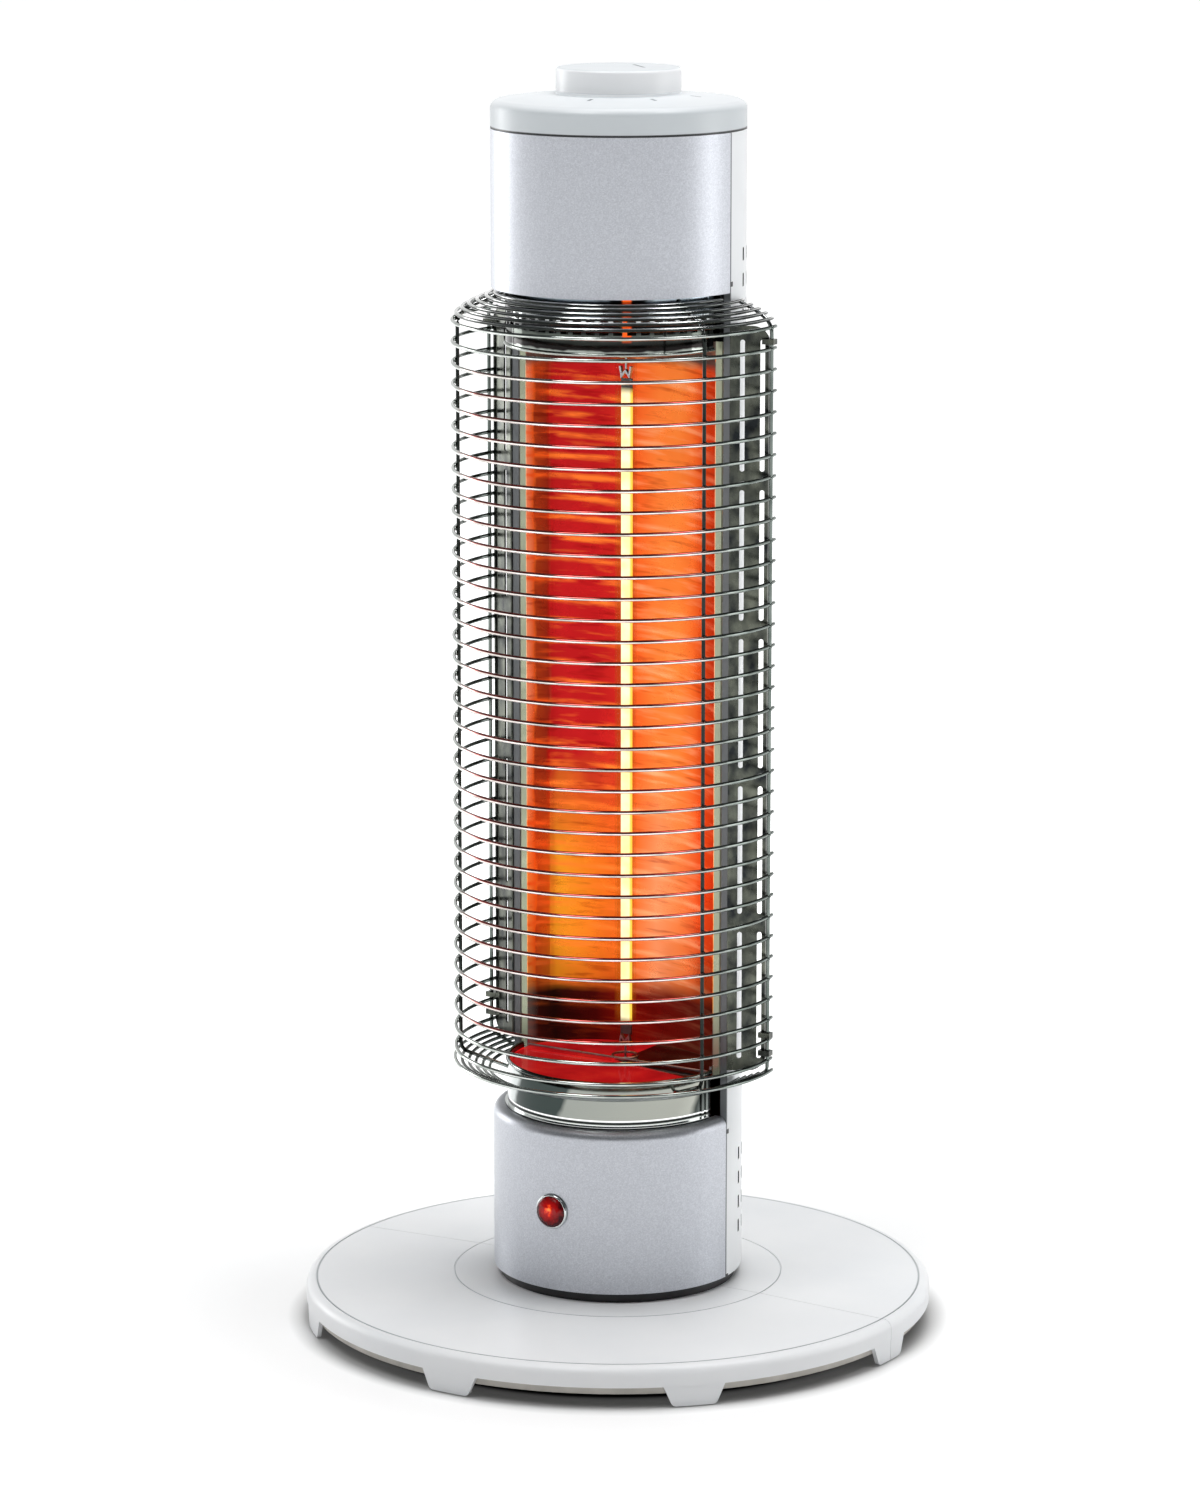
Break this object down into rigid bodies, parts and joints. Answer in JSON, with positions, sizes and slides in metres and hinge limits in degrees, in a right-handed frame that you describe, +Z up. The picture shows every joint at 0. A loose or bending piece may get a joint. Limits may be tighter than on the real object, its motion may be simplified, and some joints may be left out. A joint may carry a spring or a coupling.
{
  "type": "graphite heater",
  "caption": "Slim tower heater on a round base: an upright glowing tube before a mirror trough, behind a round wire guard, with a knob on top.",
  "frame": {"origin": "on the floor under the column's axis, at the base's centre", "axes": "+Z up along the column, the tube and guard face -Y, +X to the viewer's right seen from the front"},
  "size_m": [0.29, 0.29, 0.578],
  "materials": {
    "white_plastic": "satin",
    "silver_paint": "satin metallic",
    "chrome_plate": "bright",
    "polished_aluminium": "polished",
    "polished_steel": "polished",
    "zinc_steel": "zinc plated",
    "grey_steel": "matt",
    "black_plastic": "matt",
    "grey_plastic": "matt",
    "nylon": "matt",
    "red_plastic": "matt",
    "foot_rubber": "matt",
    "lead_insulation": "matt sleeve",
    "steatite": "unglazed",
    "brass_terminal": "bright",
    "clear_quartz": "clear",
    "red_lens": "clear red, faceted",
    "glowing_graphite": "woven strip, glowing"
  },
  "bodies": {
    "base": {"base_front_half": "white_plastic", "base_rear_half": "white_plastic", "ballast_plate": "grey_steel", "ballast_screws": "zinc_steel", "rubber_feet": "foot_rubber", "swivel_ring": "black_plastic", "tip_switch_body": "black_plastic", "tip_switch_spring": "zinc_steel", "tip_switch_lead": "lead_insulation"},
    "tip_plunger": {"tip_plunger": "red_plastic"},
    "column": {"swivel_plate": "zinc_steel", "swivel_washer": "nylon", "swivel_retainer": "zinc_steel", "retainer_screws": "zinc_steel", "lead_splice": "nylon", "lower_frame": "zinc_steel", "upper_frame": "zinc_steel", "frame_screws": "zinc_steel", "rear_cover": "white_plastic", "cover_screws": "zinc_steel", "cord_gland": "black_plastic", "gland_nut": "black_plastic", "lower_front_shell": "silver_paint", "upper_front_shell": "silver_paint", "bottom_collar": "chrome_plate", "top_collar": "chrome_plate", "reflector": "polished_aluminium", "quartz_tube": "clear_quartz", "graphite_element": "glowing_graphite", "element_clips": "zinc_steel", "element_pins": "zinc_steel", "lower_tube_holder": "steatite", "upper_tube_holder": "steatite", "holder_screws": "zinc_steel", "tube_retaining_wire": "zinc_steel", "left_side_panel": "polished_steel", "right_side_panel": "polished_steel", "panel_screws": "zinc_steel", "wire_guard": "chrome_plate", "guard_uprights": "chrome_plate", "terminal_block": "steatite", "terminal_screws": "brass_terminal", "rectifier_diode": "black_plastic", "thermal_cutoff": "steatite", "internal_leads": "lead_insulation", "lamp_bezel": "chrome_plate", "lamp_lens": "red_lens", "lamp_bulb": "clear_quartz", "lamp_base": "black_plastic", "lamp_nut": "nylon", "top_cap": "white_plastic", "cap_screws": "zinc_steel", "rotary_switch": "black_plastic", "switch_nut": "zinc_steel"},
    "knob": {"control_knob": "white_plastic", "knob_pointer": "grey_plastic", "switch_shaft": "zinc_steel"}
  },
  "joints": [
    {"name": "column_swivel", "type": "hinge", "parent": "base", "child": "column", "pos_m": [0, 0, 0.0254], "axis": [0, 0, 1], "range_deg": [-35, 35]},
    {"name": "knob_turn", "type": "hinge", "parent": "column", "child": "knob", "pos_m": [0, 0, 0.568], "axis": [0, 0, 1], "range_deg": [-90, 0]},
    {"name": "tip_plunger_slide", "type": "slide", "parent": "base", "child": "tip_plunger", "axis": [0, 0, 1], "range_m": [-0.003, 0], "stiffness_N_per_m": 60, "springref_m": -0.012, "deforming": ["tip_switch_spring"]}
  ]
}
